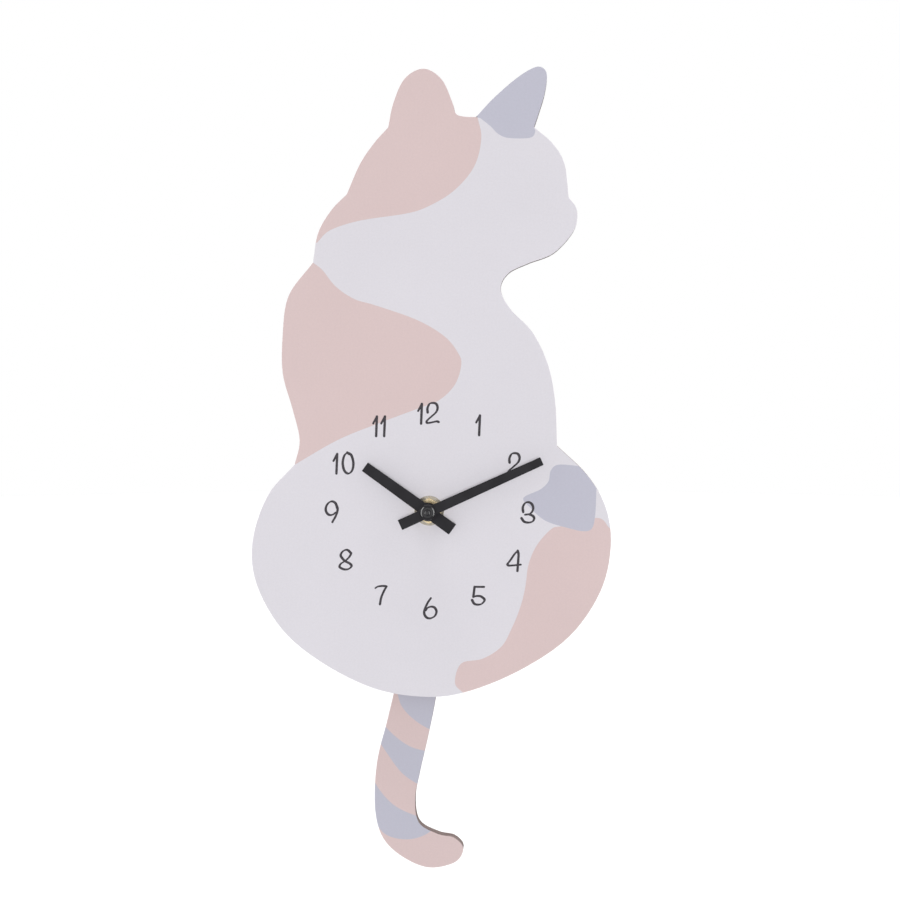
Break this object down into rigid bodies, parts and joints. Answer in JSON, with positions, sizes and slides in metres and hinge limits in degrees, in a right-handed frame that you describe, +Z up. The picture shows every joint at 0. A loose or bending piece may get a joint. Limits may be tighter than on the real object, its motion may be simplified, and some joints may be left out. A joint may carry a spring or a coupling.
{
  "type": "cat tail wall clock",
  "caption": "Flat cat-shaped wall clock with a quartz movement behind the board, two hands and a striped tail that swings as its pendulum.",
  "frame": {"origin": "centre of the nail hole in the hanger tab, on the wall plane", "axes": "+Z up along the cat, +X to the right as seen from the front, +Y into the wall; the dial faces -Y"},
  "size_m": [0.1745, 0.0372, 0.3908],
  "materials": {
    "board": "fibreboard with darkened cut edges",
    "printed_film": "matt printed film in white, pale pink and grey blue",
    "case_plastic": "moulded, fine texture",
    "white_plastic": "moulded acetal",
    "black_plastic": "moulded, smooth",
    "black_paint": "matt black paint",
    "bobbin_plastic": "moulded",
    "brass": "turned, bright",
    "plated_steel": "nickel plated",
    "magnet": "sintered, plated",
    "copper_wire": "enamelled copper wire",
    "rubber": "matt",
    "circuit_board": "green laminate",
    "battery_sleeve": "plain green sleeve with a bare top"
  },
  "bodies": {
    "clock_body": {"body_board": "board", "face_film": "printed_film", "case_front": "case_plastic", "back_cover": "case_plastic", "cover_screws": "plated_steel", "middle_plate": "white_plastic", "train_bridge": "white_plastic", "threaded_bushing": "brass", "rubber_washer": "rubber", "brass_washer": "brass", "hex_nut": "brass", "stator": "plated_steel", "coil_core": "plated_steel", "coil_bobbin": "bobbin_plastic", "coil_winding": "copper_wire", "circuit_board": "circuit_board", "quartz_crystal": "plated_steel", "chip": "black_plastic", "battery_spring": "plated_steel", "battery_plate": "plated_steel", "pendulum_pin": "plated_steel", "drive_bobbin": "bobbin_plastic", "drive_winding": "copper_wire"},
    "minute_hand_unit": {"minute_hand": "black_paint", "minute_hand_bush": "black_plastic", "centre_arbor": "black_plastic", "clutch_spring": "plated_steel"},
    "hour_hand_unit": {"hour_hand": "black_paint", "hour_wheel": "white_plastic"},
    "motion_wheel_unit": {"motion_wheel": "white_plastic"},
    "setting_knob_unit": {"setting_knob": "black_plastic"},
    "centre_wheel_unit": {"centre_wheel": "white_plastic"},
    "third_wheel_unit": {"third_wheel": "white_plastic"},
    "second_wheel_unit": {"second_wheel": "white_plastic"},
    "fifth_wheel_unit": {"fifth_wheel": "white_plastic"},
    "rotor_unit": {"rotor": "white_plastic", "rotor_magnet": "magnet"},
    "pendulum": {"pendulum_lever": "white_plastic", "pendulum_magnet": "magnet", "pendulum_rod": "plated_steel", "tail_board": "board", "tail_film": "printed_film", "tail_screws": "plated_steel"},
    "battery_cell": {"battery": "battery_sleeve"}
  },
  "joints": [
    {"name": "minute_hand_turn", "type": "hinge", "parent": "clock_body", "child": "minute_hand_unit", "pos_m": [0, 0, -0.035], "axis": [0, 1, 0], "continuous": true},
    {"name": "hour_hand_turn", "type": "hinge", "parent": "clock_body", "child": "hour_hand_unit", "pos_m": [0, 0, -0.035], "axis": [0, 1, 0], "continuous": true},
    {"name": "motion_wheel_turn", "type": "hinge", "parent": "clock_body", "child": "motion_wheel_unit", "pos_m": [-0.009, 0, -0.035], "axis": [0, 1, 0], "continuous": true},
    {"name": "setting_knob_turn", "type": "hinge", "parent": "clock_body", "child": "setting_knob_unit", "pos_m": [-0.018, 0, -0.035], "axis": [0, 1, 0], "continuous": true},
    {"name": "second_wheel_turn", "type": "hinge", "parent": "clock_body", "child": "second_wheel_unit", "pos_m": [0, 0, -0.035], "axis": [0, 1, 0], "continuous": true},
    {"name": "third_wheel_turn", "type": "hinge", "parent": "clock_body", "child": "third_wheel_unit", "pos_m": [0.00778, 0, -0.02722], "axis": [0, 1, 0], "continuous": true},
    {"name": "centre_wheel_turn", "type": "hinge", "parent": "clock_body", "child": "centre_wheel_unit", "pos_m": [0, 0, -0.035], "axis": [0, 1, 0], "continuous": true},
    {"name": "fifth_wheel_turn", "type": "hinge", "parent": "clock_body", "child": "fifth_wheel_unit", "pos_m": [-0.00359, 0, -0.02513], "axis": [0, 1, 0], "continuous": true},
    {"name": "rotor_turn", "type": "hinge", "parent": "clock_body", "child": "rotor_unit", "pos_m": [-0.01079, 0, -0.02513], "axis": [0, 1, 0], "continuous": true},
    {"name": "pendulum_swing", "type": "hinge", "parent": "clock_body", "child": "pendulum", "pos_m": [0, 0, -0.068], "axis": [0, 1, 0], "range_deg": [-18.7, 5.3]},
    {"name": "battery_slide", "type": "slide", "parent": "clock_body", "child": "battery_cell", "axis": [0, 1, 0], "range_m": [0, 0.025]}
  ],
  "couplings": [
    {"joint": "hour_hand_turn", "follows": "minute_hand_turn", "ratio": 0.083333},
    {"joint": "motion_wheel_turn", "follows": "minute_hand_turn", "ratio": -0.33333},
    {"joint": "setting_knob_turn", "follows": "minute_hand_turn", "ratio": 1},
    {"joint": "third_wheel_turn", "follows": "second_wheel_turn", "ratio": -0.125},
    {"joint": "centre_wheel_turn", "follows": "second_wheel_turn", "ratio": 0.016667},
    {"joint": "fifth_wheel_turn", "follows": "second_wheel_turn", "ratio": -6},
    {"joint": "rotor_turn", "follows": "second_wheel_turn", "ratio": 30}
  ]
}
